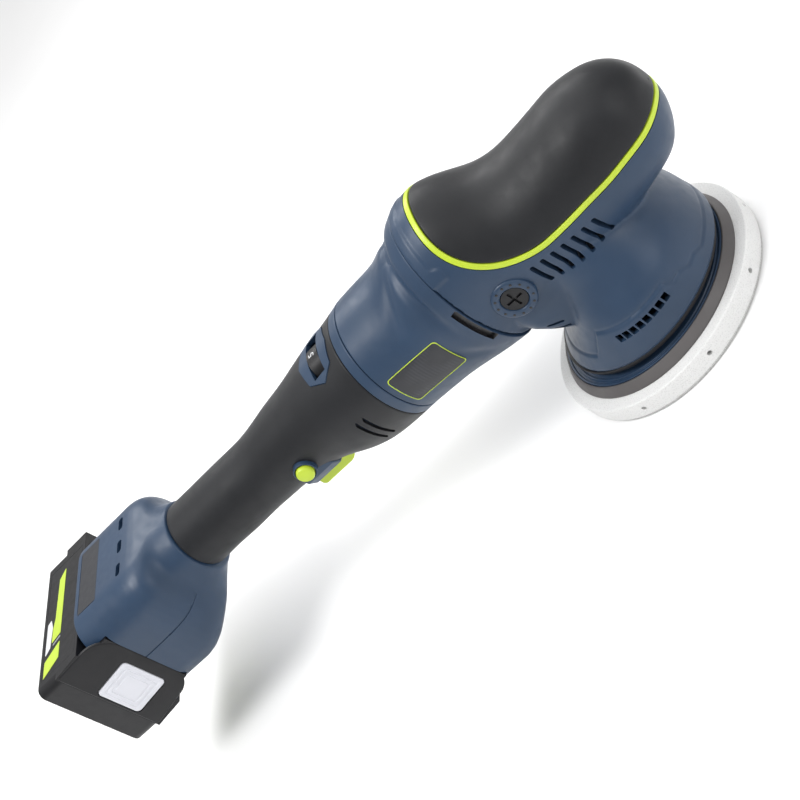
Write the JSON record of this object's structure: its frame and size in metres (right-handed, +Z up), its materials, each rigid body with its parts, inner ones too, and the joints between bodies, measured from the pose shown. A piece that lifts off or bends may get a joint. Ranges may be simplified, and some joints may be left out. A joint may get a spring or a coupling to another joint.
{
  "type": "dual action polisher",
  "caption": "Cordless dual action polisher: round pad on an orbiting spindle under a saddle-shaped top grip, round rear handle and a slide-on battery.",
  "frame": {"origin": "centre of the pad's round working face", "axes": "+X from the battery to the nose, +Y to the tool's left side, +Z up, away from the work"},
  "size_m": [0.5566, 0.15, 0.1707],
  "materials": {
    "blue_plastic": "satin moulded ABS",
    "black_soft": "soft-touch elastomer",
    "lime_plastic": "satin moulded plastic",
    "pad_white": "closed-cell foam",
    "hook_fabric": "hook-and-loop face",
    "plate_grey": "moulded polyurethane",
    "black_plastic": "satin moulded plastic",
    "label_dark": "printed film",
    "button_white": "satin moulded plastic",
    "steel": "ground steel",
    "cast_metal": "die cast",
    "copper": "enamelled wire",
    "magnet": "ferrite",
    "carbon": "pressed carbon",
    "board_green": "circuit board",
    "cell_wrap": "wrapped cell",
    "seal_felt": "felt",
    "wire_red": "insulated wire"
  },
  "bodies": {
    "housing": {"gearbox_casting": "cast_metal", "flange_screws": "steel", "spindle_bearing_lower": "steel", "spindle_bearing_upper": "steel", "motor_bearings": "steel", "bearing_circlip": "steel", "dust_seal": "seal_felt", "socket_plugs": "black_plastic", "motor_can": "steel", "field_magnets": "magnet", "brush_plate": "black_plastic", "carbon_brushes": "carbon", "brush_springs": "steel", "overmould_upper": "black_soft", "overmould_lower": "black_soft", "handle_shell_upper": "blue_plastic", "handle_shell_lower": "blue_plastic", "handle_screws": "steel", "speed_bezel": "blue_plastic", "nameplates": "label_dark", "trigger_frame": "blue_plastic", "trigger_pin": "steel", "trigger_switch": "black_plastic", "trigger_spring": "steel", "lock_collar": "blue_plastic", "lock_spring": "steel", "speed_board": "board_green", "head_grip": "black_soft", "lime_band": "lime_plastic", "head_shell": "blue_plastic", "motor_housing": "blue_plastic", "bearing_carrier": "black_plastic", "contact_block": "black_plastic", "contact_blades": "copper", "wiring": "wire_red"},
    "rotor": {"motor_shaft": "steel", "armature_core": "steel", "armature_windings": "copper", "commutator": "copper", "cooling_fan": "black_plastic", "bevel_pinion": "steel"},
    "spindle": {"spindle_shaft": "steel", "bevel_gear": "steel", "counterweight": "steel", "orbit_bearing": "steel"},
    "pad": {"pad_arbor": "steel", "plate_hub": "blue_plastic", "plate_rim": "plate_grey", "pad_foam": "pad_white", "hook_sheet": "hook_fabric"},
    "trigger": {"trigger": "lime_plastic"},
    "lock_button": {"lock_button": "lime_plastic"},
    "speed_wheel": {"speed_wheel": "black_plastic"},
    "battery": {"battery_tray": "black_plastic", "battery_labels": "label_dark", "battery_case": "black_plastic", "battery_cells": "cell_wrap", "battery_contact_board": "board_green", "release_spring": "steel"},
    "release_button": {"release_button": "button_white"}
  },
  "joints": [
    {"name": "spindle_spin", "type": "hinge", "parent": "housing", "child": "spindle", "pos_m": [-0.004, 0, 0.06], "axis": [0, 0, 1], "continuous": true},
    {"name": "rotor_spin", "type": "hinge", "parent": "housing", "child": "rotor", "pos_m": [-0.08, 0, 0.109], "axis": [1, 0, 0], "continuous": true},
    {"name": "pad_spin", "type": "hinge", "parent": "spindle", "child": "pad", "pos_m": [0, 0, 0.02], "axis": [0, 0, 1], "continuous": true},
    {"name": "trigger_pull", "type": "hinge", "parent": "housing", "child": "trigger", "pos_m": [-0.188, 0, 0.085], "axis": [0, 1, 0], "range_deg": [0, 6], "stiffness_Nm_per_rad": 1.5, "springref_deg": -6.88, "deforming": ["trigger_spring"]},
    {"name": "lock_press", "type": "slide", "parent": "housing", "child": "lock_button", "axis": [0, 1, 0], "range_m": [0, 0.003], "stiffness_N_per_m": 600, "springref_m": -0.003, "deforming": ["lock_spring"]},
    {"name": "speed_turn", "type": "hinge", "parent": "housing", "child": "speed_wheel", "pos_m": [-0.1485, -0.00441, 0.13401], "axis": [1, 0, 0], "range_deg": [-225, 0]},
    {"name": "battery_slide", "type": "slide", "parent": "housing", "child": "battery", "axis": [0, -1, 0], "range_m": [0, 0.115]},
    {"name": "release_press", "type": "slide", "parent": "battery", "child": "release_button", "axis": [-0.2049, 0.9788, 0], "range_m": [0, 0.0025], "stiffness_N_per_m": 900, "springref_m": -0.003, "deforming": ["release_spring"]}
  ],
  "couplings": [
    {"joint": "rotor_spin", "follows": "spindle_spin", "ratio": -2}
  ]
}
